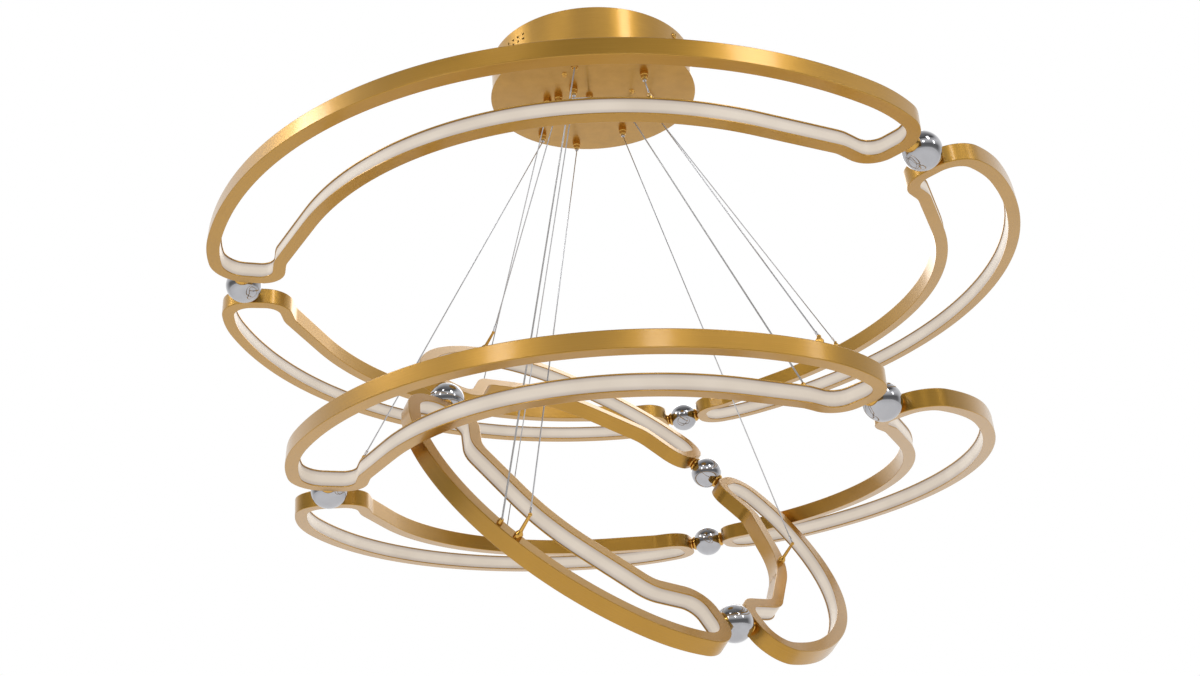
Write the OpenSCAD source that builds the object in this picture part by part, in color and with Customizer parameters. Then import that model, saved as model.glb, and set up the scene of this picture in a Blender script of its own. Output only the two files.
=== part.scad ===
// Pendant light of three rings, each made of three slotted loops with a lit inner edge.
// Origin: centre of the canopy's ceiling face. +Z points up, the light hangs below, -Y is the front.
// Sizes are in millimetres.

/* [Channel section] */
// height of the channel, across the lit edge
channel_h = 18; // [16:0.5:20]
// depth of the channel, from its back to its open edge
channel_depth = 13; // [12:0.5:15]
// thickness of the channel's back
web_t = 1.6; // [1.2:0.1:2]
// thickness of the channel's two lips
lip_t = 1.2; // [1:0.1:1.6]
// thickness of the diffuser strip
diffuser_t = 1.8; // [1.4:0.1:2.2]
// how far the diffuser sits below the lips
diffuser_recess = 0.8; // [0.4:0.1:1.2]
// thickness of the light strip on the channel's back
strip_t = 1; // [0.8:0.1:1.4]
// width of the light strip
strip_w = 8; // [6:0.5:10]

/* [Loop ends] */
// radius of the loop end's outer corner
corner_out_r = 34; // [32:0.5:36]
// radius of the loop end's inner corner
corner_in_r = 30; // [28:0.5:31]
// radius of the long bend between the outer arc and the corner
blend_r = 180; // [160:5:200]
// radius of the small bend at the loop's waist
waist_r = 26; // [22:1:30]

/* [Upper ring] */
// outside diameter of the upper ring
upper_d = 898; // [880:2:920]
// width of the upper ring's loops
upper_loop_w = 90.5; // [89:0.5:92]
// distance of the ceiling to the upper ring's centre
upper_drop = 316; // [305:1:330]

/* [Middle ring] */
// outside diameter of the middle ring
middle_d = 773; // [766:1:790]
// width of the middle ring's loops
middle_loop_w = 96.5; // [95:0.5:98]
// distance of the ceiling to the middle ring's centre
middle_drop = 527; // [515:1:540]

/* [Lower ring] */
// outside diameter of the lower ring
lower_d = 558; // [556:1:568]
// width of the lower ring's loops
lower_loop_w = 91; // [89:0.5:93]
// distance of the ceiling to the lower ring's centre
lower_drop = 530; // [525:1:535]
// lean of the lower ring from level, in degrees
lower_lean = 48.2; // [46:0.2:50]

/* [Ball joints] */
// how far the upper ring's balls sit in from its outside
upper_ball_in = 37; // [36:0.5:38]
// how far the middle ring's balls sit in from its outside
middle_ball_in = 53; // [52:0.5:54]
// how far the lower ring's balls sit in from its outside
lower_ball_in = 52; // [51:0.5:53]
// diameter of the chrome balls
ball_d = 38; // [36:0.5:40]
// diameter of the brass collars beside a ball
collar_d = 18; // [16:0.5:20]
// room between a ball's edge and the loop
ball_gap = 3.5; // [3:0.5:5]
// diameter of the stud through a collar
stud_d = 6; // [5:0.5:7]
// width of the nut on a stud, across its flats
stud_nut_w = 9; // [8:0.5:10]

/* [Canopy] */
// diameter of the canopy's bottom plate
canopy_d = 250; // [248:1:264]
// height of the canopy
canopy_h = 46; // [44:1:50]
// thickness of the canopy's bottom plate
plate_t = 2; // [1.5:0.1:3]
// thickness of the canopy's side wall
wall_t = 1.2; // [1:0.1:1.5]
// how far the bottom plate stands out past the wall
plate_edge = 2; // [1.5:0.5:3]
// thickness of the ceiling plate
ceiling_t = 2; // [1.5:0.1:3]
// diameter of the circle of ceiling screws
ceiling_pcd = 150; // [140:1:160]
// diameter of the ceiling screw holes
ceiling_hole_d = 5; // [4:0.1:6]
// diameter of the hole for the house wiring
supply_hole_d = 24; // [18:1:30]

/* [Hanging] */
// diameter of the steel cables
cable_d = 1.4; // [1.2:0.1:1.8]
// diameter of the clear power cords
cord_d = 1.8; // [1.6:0.1:2.4]
// diameter of the grip bodies under the plate
grip_d = 10; // [9:0.5:11]
// clearance round a grip's push sleeve
grip_clearance = 0.06; // [0.04:0.01:0.1]
// diameter of the fittings on the rings
fitting_d = 8; // [7:0.5:9]
// length of the rods that stand on the lower ring
lower_rod = 18; // [14:1:22]

/* [Hidden] */
$fn = 72;

gold = [0.78, 0.6, 0.3];
chrome = [0.8, 0.8, 0.82];
cream = [0.95, 0.93, 0.88];
steel = [0.7, 0.7, 0.7];
clear = [0.85, 0.87, 0.88];

// One entry per ring: upper, middle, lower.
outer_r = [upper_d / 2, middle_d / 2, lower_d / 2];
inner_r = [upper_d / 2 - upper_loop_w, middle_d / 2 - middle_loop_w, lower_d / 2 - lower_loop_w];
ball_r = outer_r - [upper_ball_in, middle_ball_in, lower_ball_in];
centre = [[13.8, -4.3, -upper_drop], [23.4, 26.3, -middle_drop], [12.6, 36.2, -lower_drop]];
lean = [3.5, 1.1, lower_lean];
lean_way = [70, 99.4, -42.9];
// Angles of a ring's balls, then how far each loop is turned about the line through its balls.
ball_at = [[-169.6, -45.5, 77.6], [-169.3, -46.9, 73.5], [-165.6, -49, 68.8]];
loop_turn = [[4, 5.7, -3], [6.5, 2.1, -2.7], [-3.8, 0.3, 0]];
// The loop end's extremes and waist point, from the outer and the inner arc.
end_in_from_outer = [8, 14.5, 10.5];
end_out_from_inner = [5.5, 1.5, 0.5];
waist_from_inner = [3.5, -0.5, -4.5];
waist_along = [66, 62, 84];

half_h = channel_h / 2;
inside_h = half_h - lip_t;
cap = ball_d / 2 + ball_gap;
seam = 0.03;
lap = 0.6;

function turned(v, a) = [v[0] * cos(a) - v[1] * sin(a), v[0] * sin(a) + v[1] * cos(a), v[2]];
function tipped(v, a) = [v[0] * cos(a) + v[2] * sin(a), v[1], v[2] * cos(a) - v[0] * sin(a)];
function polar(r, a) = [r * cos(a), r * sin(a)];
function heading(v) = atan2(v[1], v[0]);
function next(k) = (k + 1) % 3;

function span(g, k) = ball_at[g][next(k)] - ball_at[g][k] + (k == 2 ? 360 : 0);
function middle(g, k) = ball_at[g][k] + span(g, k) / 2;
function chord(g, k) = ball_r[g] * cos(span(g, k) / 2);
function in_ring(g, k, p) =
  turned(tipped(p - [chord(g, k), 0, 0], -loop_turn[g][k]) + [chord(g, k), 0, 0], middle(g, k));
function in_frame(g, p) =
  centre[g] + turned(tipped(turned(p, -lean_way[g]), lean[g]), lean_way[g]);
function at_loop(g, k, p) = in_frame(g, in_ring(g, k, p));

// The loop end, seen from its ball: x is outward from the ring's centre, -y runs into the loop.
function out_corner(g) = [outer_r[g] - end_in_from_outer[g] - corner_out_r, -cap - corner_out_r];
function in_corner(g) = [inner_r[g] + end_out_from_inner[g] + corner_in_r, -cap - corner_in_r];
function blend_heading(g) =
  let (p = outer_r[g] - blend_r, q = blend_r - corner_out_r, a = norm(out_corner(g)))
  heading(out_corner(g)) - acos((p * p + a * a - q * q) / (2 * p * a));
function blend_centre(g) = polar(outer_r[g] - blend_r, blend_heading(g));
function blend_end(g) = heading(out_corner(g) - blend_centre(g));
function waist(g) = [inner_r[g] + waist_from_inner[g], -waist_along[g]];
function arc_end(g) = heading(waist(g)) - acos(inner_r[g] / norm(waist(g)));
function corner_end(g) =
  let (v = waist(g) - in_corner(g))
  heading(v) + 360 - acos(corner_in_r / norm(v));
function waist_bend(g) = corner_end(g) + 90 - (arc_end(g) + 270);
function waist_cut(g) = waist_r * tan(waist_bend(g) / 2);

// Sections as [depth, height]; e insets the pieces that lap into their neighbours.
function channel_section(e) = [
  [e, e - half_h], [channel_depth - e, e - half_h], [channel_depth - e, -inside_h - e],
  [web_t - e, -inside_h - e], [web_t - e, inside_h + e], [channel_depth - e, inside_h + e],
  [channel_depth - e, half_h - e], [e, half_h - e]
];
function diffuser_section(e) =
  let (front = channel_depth - diffuser_recess, back = front - diffuser_t)
  [[back + e, e - inside_h], [front - e, e - inside_h], [front - e, inside_h - e], [back + e, inside_h - e]];
function strip_section() =
  let (top = web_t + strip_t, side = strip_w / 2)
  [[web_t, -side], [top, -side], [top, side], [web_t, side]];
function at_radius(section, r, side) = [for (p = section) [r + side * p[0], p[1]]];

module arc(section, at, r, side, from, to) {
  translate([at[0], at[1], 0])
    rotate([0, 0, from])
      rotate_extrude(angle = to - from)
        polygon(at_radius(section, r, side));
}

module bar(section, at, way, long) {
  translate([at[0], at[1], 0])
    rotate([0, 0, way])
      rotate([90, 0, 90])
        linear_extrude(height = long)
          polygon(section);
}

module loop_end(g, full, inset) {
  o = out_corner(g);
  i = in_corner(g);
  b = blend_centre(g);
  lap_blend = lap / blend_r * 180 / PI;
  arc(inset, b, blend_r, -1, blend_heading(g) - lap_blend, blend_end(g) + lap_blend);
  arc(full, o, corner_out_r, -1, blend_end(g), 90);
  bar(inset, [o[0] + lap, -cap], 180, o[0] - i[0] + 2 * lap);
  arc(full, i, corner_in_r, -1, 90, corner_end(g));
  way_a = corner_end(g) + 90;
  start_a = i + polar(corner_in_r, corner_end(g));
  long_a = norm(waist(g) - start_a) - waist_cut(g);
  bar(inset, start_a - polar(lap, way_a), way_a, long_a + 2 * lap);
  bend_at = waist(g) - polar(waist_cut(g), way_a) + polar(waist_r, way_a - 90);
  arc(full, bend_at, waist_r, 1, way_a + 90 - waist_bend(g), way_a + 90);
  way_b = arc_end(g) - 90;
  start_b = waist(g) + polar(waist_cut(g), way_b);
  long_b = norm(polar(inner_r[g], arc_end(g)) - start_b);
  bar(inset, start_b - polar(lap, way_b), way_b, long_b + 2 * lap);
}

module swept_loop(g, k, full, inset) {
  half = span(g, k) / 2;
  arc(full, [0, 0], outer_r[g], -1, -half - blend_heading(g), half + blend_heading(g));
  arc(full, [0, 0], inner_r[g], 1, -half - arc_end(g), half + arc_end(g));
  rotate([0, 0, half])
    loop_end(g, full, inset);
  mirror([0, 1, 0])
    rotate([0, 0, half])
      loop_end(g, full, inset);
}

module on_ring(g) {
  translate(centre[g])
    rotate([0, 0, lean_way[g]])
      rotate([0, lean[g], 0])
        rotate([0, 0, -lean_way[g]])
          children();
}

module on_loop(g, k) {
  on_ring(g)
    rotate([0, 0, middle(g, k)])
      translate([chord(g, k), 0, 0])
        rotate([0, -loop_turn[g][k], 0])
          translate([-chord(g, k), 0, 0])
            children();
}

// Puts children at a loop's two balls: x outward, -y into the loop.
module at_ends(g, k) {
  half = span(g, k) / 2;
  rotate([0, 0, half])
    children();
  mirror([0, 1, 0])
    rotate([0, 0, half])
      children();
}

// A cylinder that runs into the loop from the ball's centre.
module into_loop(g, from, to, d) {
  translate([ball_r[g], -from, 0])
    rotate([90, 0, 0])
      cylinder(h = to - from, d = d);
}

stud_clearance = 0.05;
module loop_channel(g, k) {
  color(gold)
    on_loop(g, k)
      difference() {
        swept_loop(g, k, channel_section(0), channel_section(seam));
        at_ends(g, k)
          into_loop(g, cap - 3, cap + web_t + 3, stud_d + 2 * stud_clearance);
        for (f = fittings_on(g, k))
          translate([f[0], f[1], inside_h - 1])
            cylinder(h = lip_t + 2, d = stem_d + 2 * stud_clearance);
      }
}

module loop_diffuser(g, k) {
  color(cream)
    on_loop(g, k)
      swept_loop(g, k, diffuser_section(0), diffuser_section(seam));
}

module strips(g) {
  color(cream)
    for (k = [0:2])
      on_loop(g, k) {
        half = span(g, k) / 2;
        end_o = half + blend_heading(g) - 1;
        end_i = half + arc_end(g) - 1;
        arc(strip_section(), [0, 0], outer_r[g], -1, -end_o, end_o);
        arc(strip_section(), [0, 0], inner_r[g], 1, -end_i, end_i);
      }
}

// Ball joints: a collar sits on a flat cut into the ball, its stud runs into the ball and through the loop.
collar_seat = sqrt(ball_d * ball_d - collar_d * collar_d) / 2 - 0.2;
stud_in = 6;
module balls(g) {
  color(chrome)
    for (k = [0:2])
      difference() {
        on_ring(g)
          rotate([0, 0, ball_at[g][k]])
            translate([ball_r[g], 0, 0])
              sphere(d = ball_d);
        on_loop(g, k)
          mirror([0, 1, 0])
            rotate([0, 0, span(g, k) / 2])
              ball_seat(g);
        on_loop(g, (k + 2) % 3)
          rotate([0, 0, span(g, (k + 2) % 3) / 2])
            ball_seat(g);
      }
}

module ball_seat(g) {
  into_loop(g, collar_seat, ball_d, collar_d + 0.1);
  into_loop(g, stud_in - 0.5, collar_seat + 1, stud_d + 2 * stud_clearance);
}

nut_t = 4;
nut_r = stud_nut_w / cos(30) / 2;
// How deep the nut sits, so that its corners clear the rounded back of the channel.
function nut_seat(g) =
  let (over = max(0, ball_r[g] + nut_r - out_corner(g)[0]))
  let (under = max(0, in_corner(g)[0] - ball_r[g] + nut_r))
  cap + max(bow(corner_out_r, over), bow(corner_in_r, under));
function bow(r, x) = r - sqrt(pow(r - web_t, 2) - x * x);

module studs(g) {
  color(gold)
    for (k = [0:2])
      on_loop(g, k)
        at_ends(g, k)
          stud(g);
}

module stud(g) {
  difference() {
    into_loop(g, collar_seat, cap + 4, collar_d);
    translate([out_corner(g)[0], out_corner(g)[1], -ball_d])
      cylinder(h = 2 * ball_d, r = corner_out_r);
    translate([in_corner(g)[0], in_corner(g)[1], -ball_d])
      cylinder(h = 2 * ball_d, r = corner_in_r);
    translate([in_corner(g)[0], -cap - seam - 20, -ball_d])
      cube([out_corner(g)[0] - in_corner(g)[0], 20, 2 * ball_d]);
  }
  into_loop(g, stud_in, nut_seat(g) + nut_t + 1, stud_d);
  translate([ball_r[g], -nut_seat(g), 0])
    rotate([90, 0, 0])
      cylinder(h = nut_t, r = nut_r, $fn = 6);
}

// Where things stand on the rings: [loop, angle from the loop's middle, radius].
mid_o = outer_r - [1, 1, 1] * channel_depth / 2;
mid_i = inner_r + [1, 1, 1] * channel_depth / 2;
hang_at = [
  [[0, 23, mid_i[0]], [2, -11.8, mid_i[0]], [1, 21.7, mid_i[0]]],
  [[0, -50.5, mid_i[1] + 6.9], [0, 42.6, mid_o[1]], [2, -7, mid_i[1]]],
  [[2, 18.5, mid_o[2]], [0, 1.2, mid_o[2]], [1, 0.3, mid_i[2]]]
];
cord_at = [[0, 12, mid_i[0]], [0, 48.6, mid_i[1] + 5.6], [0, -3.4, mid_o[2]]];
grip_at = [
  [[61.7, -52.4], [-56.4, -3.6], [81.8, 41.8]],
  [[-68.3, 77.3], [70.1, 12.1], [-23.4, -27.3]],
  [[-42.5, -11.3], [-25.9, 105.3], [34.7, 75.4]]
];
gland_at = [[-4.8, -7.4], [41.5, 30.2], [-20, -74.6]];
rod_h = [0, 0, lower_rod];

stem_d = 3;
base_h = 5;
cone_h = 3;
ferrule_d = 2.8;
ferrule_h = 9;
ferrule_hold = 5;
entry_h = 5;
cord_hold = 1.2;

function spot(place, z) = [place[2] * cos(place[1]), place[2] * sin(place[1]), z];
function fittings_on(g, k) = concat(
  [for (p = hang_at[g]) if (p[0] == k) spot(p, 0)],
  [for (p = [cord_at[g]]) if (p[0] == k) spot(p, 0)]
);
function hang_top(g, i) =
  at_loop(g, hang_at[g][i][0], spot(hang_at[g][i], half_h + base_h + cone_h + rod_h[g]));
function cord_top(g) = at_loop(g, cord_at[g][0], spot(cord_at[g], half_h + entry_h));
function unit(v) = v / norm(v);
function gland_mouth(g) = [gland_at[g][0], gland_at[g][1], gland_z + 1];
function cord_start(g) = cord_top(g) - cord_hold * unit(gland_mouth(g) - cord_top(g));

// Cylinder from one point towards another.
module along(from, to, long, d) {
  v = unit(to - from);
  translate(from)
    rotate([0, acos(v[2]), heading(v)])
      cylinder(h = long, d = d);
}

module fittings(g) {
  for (i = [0:2]) {
    color(gold)
      on_loop(g, hang_at[g][i][0])
        translate(spot(hang_at[g][i], 0))
          hang_post(g);
    color(steel)
      difference() {
        along(hang_top(g, i), grip_mouth(grip_at[g][i]), ferrule_h, ferrule_d);
        along(ferrule_bore(g, i), grip_mouth(grip_at[g][i]), ferrule_h, cable_d);
      }
  }
  color(gold)
    difference() {
      on_loop(g, cord_at[g][0])
        translate(spot(cord_at[g], 0)) {
          translate([0, 0, half_h])
            cylinder(h = entry_h, d1 = 6, d2 = 4);
          translate([0, 0, inside_h - 3])
            cylinder(h = lip_t + 4, d = stem_d);
        }
      along(cord_start(g), gland_mouth(g), 8, cord_d);
    }
}

module hang_post(g) {
  translate([0, 0, half_h])
    cylinder(h = base_h, d = fitting_d);
  translate([0, 0, half_h + base_h])
    cylinder(h = cone_h, d1 = fitting_d, d2 = 3.6);
  translate([0, 0, inside_h - 3])
    cylinder(h = lip_t + 4, d = stem_d);
  if (rod_h[g] > 0)
    translate([0, 0, half_h + base_h])
      cylinder(h = cone_h + rod_h[g], d = stem_d);
  translate([0, 0, half_h + base_h + cone_h + rod_h[g]])
    sphere(d = 4);
}

function ferrule_bore(g, i) =
  hang_top(g, i) + unit(grip_mouth(grip_at[g][i]) - hang_top(g, i)) * (ferrule_h - ferrule_hold);

// Cables and cords: straight from the ring to the grip's mouth, then upright inside it.
nose_z = -canopy_h - 9;
sleeve_z = nose_z - 3;
mouth_z = sleeve_z + 0.5;
tail_h = 20;
function grip_mouth(p) = [p[0], p[1], mouth_z];

module cable(g, i) {
  color(steel) {
    from = ferrule_bore(g, i);
    to = grip_mouth(grip_at[g][i]);
    along(from, to, norm(to - from) + 0.4, cable_d);
    translate(to - [0, 0, 0.3])
      cylinder(h = tail_h, d = cable_d);
  }
}

gland_z = -canopy_h - 4;
module cord(g) {
  color(clear) {
    from = cord_start(g);
    to = gland_mouth(g);
    along(from, to, norm(to - from) + 0.4, cord_d);
    translate(to - [0, 0, 0.3])
      cylinder(h = 16, d = cord_d);
  }
}

// Canopy.
wall_r = canopy_d / 2 - plate_edge;
plate_top = -canopy_h + plate_t;
rim_h = 6;
rim_t = 1.2;
nipple_d = 8;
hole_clearance = 0.1;
screw_d = 4;
screw_z = -11;
screw_at = [-36, 84, 204];
tab_w = 14;
tab_t = 2;

module ceiling_plate() {
  tab_r = wall_r - wall_t;
  color(steel)
    difference() {
      union() {
        translate([0, 0, -ceiling_t])
          cylinder(h = ceiling_t, r = tab_r - 4);
        for (a = screw_at)
          rotate([0, 0, a]) {
            translate([tab_r - 12, -tab_w / 2, -ceiling_t])
              cube([12 - 0.3, tab_w, ceiling_t]);
            translate([tab_r - 0.3 - tab_t, -tab_w / 2, screw_z - 7])
              cube([tab_t, tab_w, 7 - screw_z]);
          }
      }
      translate([0, 0, -ceiling_t - 1])
        cylinder(h = ceiling_t + 2, d = supply_hole_d);
      for (a = [45:90:315])
        rotate([0, 0, a])
          translate([ceiling_pcd / 2, 0, -ceiling_t - 1])
            cylinder(h = ceiling_t + 2, d = ceiling_hole_d);
      for (a = screw_at)
        rotate([0, 0, a])
          translate([tab_r - 6, 0, screw_z])
            rotate([0, 90, 0])
              cylinder(h = 8, d = screw_d + hole_clearance);
    }
}

vent_d = 3;
module canopy_wall() {
  color(gold)
    difference() {
      translate([0, 0, plate_top])
        cylinder(h = -plate_top - 0.5, r = wall_r);
      translate([0, 0, plate_top - 1])
        cylinder(h = canopy_h + 2, r = wall_r - wall_t);
      for (a = screw_at)
        rotate([0, 0, a])
          translate([wall_r - 4, 0, screw_z])
            rotate([0, 90, 0])
              cylinder(h = 8, d = screw_d + hole_clearance);
      for (i = [0:3], z = [-13, -19])
        rotate([0, 0, 219 + 4 * i])
          translate([wall_r - 4, 0, z])
            rotate([0, 90, 0])
              cylinder(h = 8, d = vent_d);
    }
}

module canopy_plate() {
  color(gold)
    difference() {
      union() {
        translate([0, 0, -canopy_h])
          cylinder(h = plate_t, d = canopy_d);
        translate([0, 0, plate_top])
          difference() {
            cylinder(h = rim_h, r = wall_r - wall_t);
            translate([0, 0, -1])
              cylinder(h = rim_h + 2, r = wall_r - wall_t - rim_t);
          }
      }
      for (g = [0:2]) {
        for (p = grip_at[g])
          translate([p[0], p[1], -canopy_h - 1])
            cylinder(h = plate_t + 2, d = nipple_d + hole_clearance);
        translate([gland_at[g][0], gland_at[g][1], -canopy_h - 1])
          cylinder(h = plate_t + 2, d = gland_d + hole_clearance);
      }
      for (s = driver_screw_at)
        translate([s[0], s[1], -canopy_h - 1])
          cylinder(h = plate_t + 2, d = screw_d + hole_clearance);
    }
}

module canopy_screws() {
  color(gold)
    for (a = screw_at)
      rotate([0, 0, a]) {
        translate([wall_r, 0, screw_z])
          rotate([0, 90, 0])
            cylinder(h = 2, d1 = 8, d2 = 6);
        translate([wall_r - 8, 0, screw_z])
          rotate([0, 90, 0])
            cylinder(h = 9, d = screw_d);
      }
}

driver_at = [7.2, -34.3];
driver_way = 29.3;
driver_half = 45.75;
driver_l = 80;
driver_w = 26;
driver_h = 24;
lug_t = 2.5;
driver_screw_at = [
  driver_at + polar(driver_half, driver_way),
  driver_at - polar(driver_half, driver_way)
];
module led_driver() {
  color(cream)
    translate([driver_at[0], driver_at[1], plate_top])
      rotate([0, 0, driver_way])
        difference() {
          union() {
            translate([-driver_l / 2, -driver_w / 2, 0])
              cube([driver_l, driver_w, driver_h]);
            translate([-driver_half - 5, -6, 0])
              cube([2 * driver_half + 10, 12, lug_t]);
          }
          for (s = [-1, 1])
            translate([s * driver_half, 0, -1])
              cylinder(h = lug_t + 2, d = screw_d + hole_clearance);
        }
}

module driver_screws() {
  color(gold)
    for (s = driver_screw_at)
      translate([s[0], s[1], 0]) {
        translate([0, 0, -canopy_h - 2])
          cylinder(h = 2, d1 = 5, d2 = 7.5);
        translate([0, 0, -canopy_h - 1])
          cylinder(h = plate_t + lug_t + 5, d = screw_d);
        translate([0, 0, plate_top + lug_t])
          cylinder(h = 3, d = 8, $fn = 6);
      }
}

// Cable grips: the sleeve slides up into the grip to let the cable run.
sleeve_d = 4.8;
head_d = 6;
head_t = 2;
shoulder_z = nose_z + 5;
chamber_d = 6.2;
nipple_top = plate_top + 7;
module cable_grips() {
  color(gold)
    for (g = [0:2], p = grip_at[g])
      translate([p[0], p[1], 0])
        difference() {
          union() {
            translate([0, 0, -canopy_h - 5])
              cylinder(h = 5, d = grip_d);
            translate([0, 0, nose_z])
              cylinder(h = 5, d1 = 7.4, d2 = grip_d - 0.6);
            translate([0, 0, -canopy_h - 1])
              cylinder(h = nipple_top + canopy_h + 1, d = nipple_d);
          }
          translate([0, 0, nose_z - 1])
            cylinder(h = 8, d = sleeve_d + 2 * grip_clearance);
          translate([0, 0, shoulder_z])
            cylinder(h = nipple_top - 1.5 - shoulder_z, d = chamber_d);
          translate([0, 0, nipple_top - 3])
            cylinder(h = 5, d = cable_d + 0.4);
        }
}

module grip_sleeve(p) {
  color(gold)
    translate([p[0], p[1], 0])
      difference() {
        union() {
          translate([0, 0, sleeve_z])
            cylinder(h = shoulder_z - sleeve_z + head_t / 2, d = sleeve_d);
          translate([0, 0, shoulder_z])
            cylinder(h = head_t, d = head_d);
        }
        translate([0, 0, sleeve_z - 1])
          cylinder(h = 16, d = cable_d + 0.1);
        translate([0, 0, sleeve_z - 0.1])
          cylinder(h = 2.1, d1 = sleeve_d - 0.7, d2 = cable_d);
      }
}

module grip_nuts() {
  color(steel)
    for (g = [0:2], p = grip_at[g])
      translate([p[0], p[1], plate_top])
        difference() {
          cylinder(h = 4, d = 12 / cos(30), $fn = 6);
          translate([0, 0, -1])
            cylinder(h = 6, d = nipple_d + hole_clearance);
        }
}

gland_d = 6;
module cord_glands() {
  color(gold)
    for (g = [0:2])
      translate([gland_at[g][0], gland_at[g][1], 0])
        difference() {
          union() {
            translate([0, 0, gland_z])
              cylinder(h = 4, d1 = 8, d2 = 9);
            translate([0, 0, -canopy_h - 1])
              cylinder(h = plate_t + 5, d = gland_d);
          }
          translate([0, 0, gland_z - 1])
            cylinder(h = 20, d = cord_d + 0.1);
          translate([0, 0, gland_z - 0.1])
            cylinder(h = 2.3, d1 = cord_d + 4.6, d2 = cord_d + 2.2);
        }
}

ceiling_plate();
canopy_wall();
canopy_plate();
canopy_screws();
led_driver();
driver_screws();
cable_grips();
grip_nuts();
cord_glands();
for (n = [0:8])
  grip_sleeve(grip_at[floor(n / 3)][n % 3]);
RING = ["upper", "middle", "lower"];
for (g = [0:2]) {
  for (k = [0:2]) {
    loop_channel(g, k);
    loop_diffuser(g, k);
    cable(g, k);
  }
  strips(g);
  balls(g);
  studs(g);
  fittings(g);
  cord(g);
}
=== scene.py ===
import math
import bmesh
import bpy
import numpy as np
from mathutils import Matrix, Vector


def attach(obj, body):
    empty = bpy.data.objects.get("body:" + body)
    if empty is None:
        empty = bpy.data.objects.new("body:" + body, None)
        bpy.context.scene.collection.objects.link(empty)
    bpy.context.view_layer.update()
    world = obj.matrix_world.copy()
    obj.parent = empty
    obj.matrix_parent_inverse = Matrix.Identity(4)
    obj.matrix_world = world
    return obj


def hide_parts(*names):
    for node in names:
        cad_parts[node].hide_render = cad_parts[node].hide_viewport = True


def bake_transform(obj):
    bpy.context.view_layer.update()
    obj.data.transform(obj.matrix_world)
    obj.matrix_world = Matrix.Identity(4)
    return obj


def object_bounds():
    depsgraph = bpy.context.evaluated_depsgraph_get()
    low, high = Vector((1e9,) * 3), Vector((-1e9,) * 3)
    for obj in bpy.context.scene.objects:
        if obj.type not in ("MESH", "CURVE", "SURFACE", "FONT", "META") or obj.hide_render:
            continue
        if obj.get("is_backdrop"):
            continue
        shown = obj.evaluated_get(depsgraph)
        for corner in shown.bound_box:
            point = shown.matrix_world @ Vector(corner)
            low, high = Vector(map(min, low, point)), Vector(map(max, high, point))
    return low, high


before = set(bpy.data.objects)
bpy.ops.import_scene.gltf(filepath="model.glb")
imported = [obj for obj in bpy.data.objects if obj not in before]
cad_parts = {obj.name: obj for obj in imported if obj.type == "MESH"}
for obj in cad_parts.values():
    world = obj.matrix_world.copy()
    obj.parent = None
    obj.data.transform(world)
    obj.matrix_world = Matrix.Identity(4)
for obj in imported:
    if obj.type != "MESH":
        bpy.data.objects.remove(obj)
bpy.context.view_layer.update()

mm = 0.001

cameraSetup = {
    "place": (0.0, -1.3094, -0.8513),
    "pitch": 0.357,  # upwards, radians
    "yaw": 0.025,
    "roll": -0.061,
    "focal": 1228.03,  # in the photo's pixels
    "photoWidth": 1200,
    "shift": (39.0, 0.2),
}


def makeCamera(c):
    forward = np.array([0, math.cos(c["pitch"]), math.sin(c["pitch"])])
    up = np.array([0, -math.sin(c["pitch"]), math.cos(c["pitch"])])
    right = np.array([1.0, 0, 0])
    cy, sy = math.cos(c["yaw"]), math.sin(c["yaw"])
    forward, right = cy * forward + sy * right, cy * right - sy * forward
    cr, sr = math.cos(c["roll"]), math.sin(c["roll"])
    right, up = cr * right + sr * up, cr * up - sr * right
    data = bpy.data.cameras.new("camera")
    data.sensor_width = 36
    data.lens = c["focal"] / c["photoWidth"] * 36
    data.shift_x = -c["shift"][0] / c["photoWidth"]
    data.shift_y = c["shift"][1] / c["photoWidth"]
    camera = bpy.data.objects.new("camera", data)
    bpy.context.scene.collection.objects.link(camera)
    m = np.eye(4)
    m[:3, 0], m[:3, 1], m[:3, 2], m[:3, 3] = right, up, -forward, c["place"]
    camera.matrix_world = Matrix(m.tolist())
    bpy.context.scene.camera = camera


makeCamera(cameraSetup)
print("camera placed")

# the loops' section and the rings, in millimetres and degrees, as in the part
section = {
    "height": 18.0, "depth": 13.0, "web": 1.6, "lip": 1.2,
    "diffuser": 1.8, "recess": 0.8, "bump": 0.35, "slack": 0.02,
    "cornerOut": 34.0, "cornerIn": 30.0, "blend": 180.0, "waist": 26.0,
    "ball": 38.0, "ballGap": 3.5, "collar": 18.0,
}
stepBy = {"arc": 1.0, "bend": 1.5, "corner": 4}  # degrees from point to point along the outline
rings = {
    "upper": {
        "outer": 449.0, "width": 90.5, "ballInset": 37.0, "centre": (13.8, -4.3, -316.0),
        "lean": 3.5, "leanWay": 70.0, "balls": (-169.6, -45.5, 77.6), "turn": (4.0, 5.7, -3.0),
        "endIn": 8.0, "endOut": 5.5, "waistIn": 3.5, "waistAlong": 66.0,
    },
    "middle": {
        "outer": 386.5, "width": 96.5, "ballInset": 53.0, "centre": (23.4, 26.3, -527.0),
        "lean": 1.1, "leanWay": 99.4, "balls": (-169.3, -46.9, 73.5), "turn": (6.5, 2.1, -2.7),
        "endIn": 14.5, "endOut": 1.5, "waistIn": -0.5, "waistAlong": 62.0,
    },
    "lower": {
        "outer": 279.0, "width": 91.0, "ballInset": 52.0, "centre": (12.6, 36.2, -530.0),
        "lean": 48.2, "leanWay": -42.9, "balls": (-165.6, -49.0, 68.8), "turn": (-3.8, 0.3, 0.0),
        "endIn": 10.5, "endOut": 0.5, "waistIn": -4.5, "waistAlong": 84.0,
    },
}
cap = section["ball"] / 2 + section["ballGap"]


def rotZ(a):
    c, s = math.cos(math.radians(a)), math.sin(math.radians(a))
    return np.array([[c, -s, 0], [s, c, 0], [0, 0, 1.0]])


def rotY(a):
    c, s = math.cos(math.radians(a)), math.sin(math.radians(a))
    return np.array([[c, 0, s], [0, 1.0, 0], [-s, 0, c]])


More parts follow.
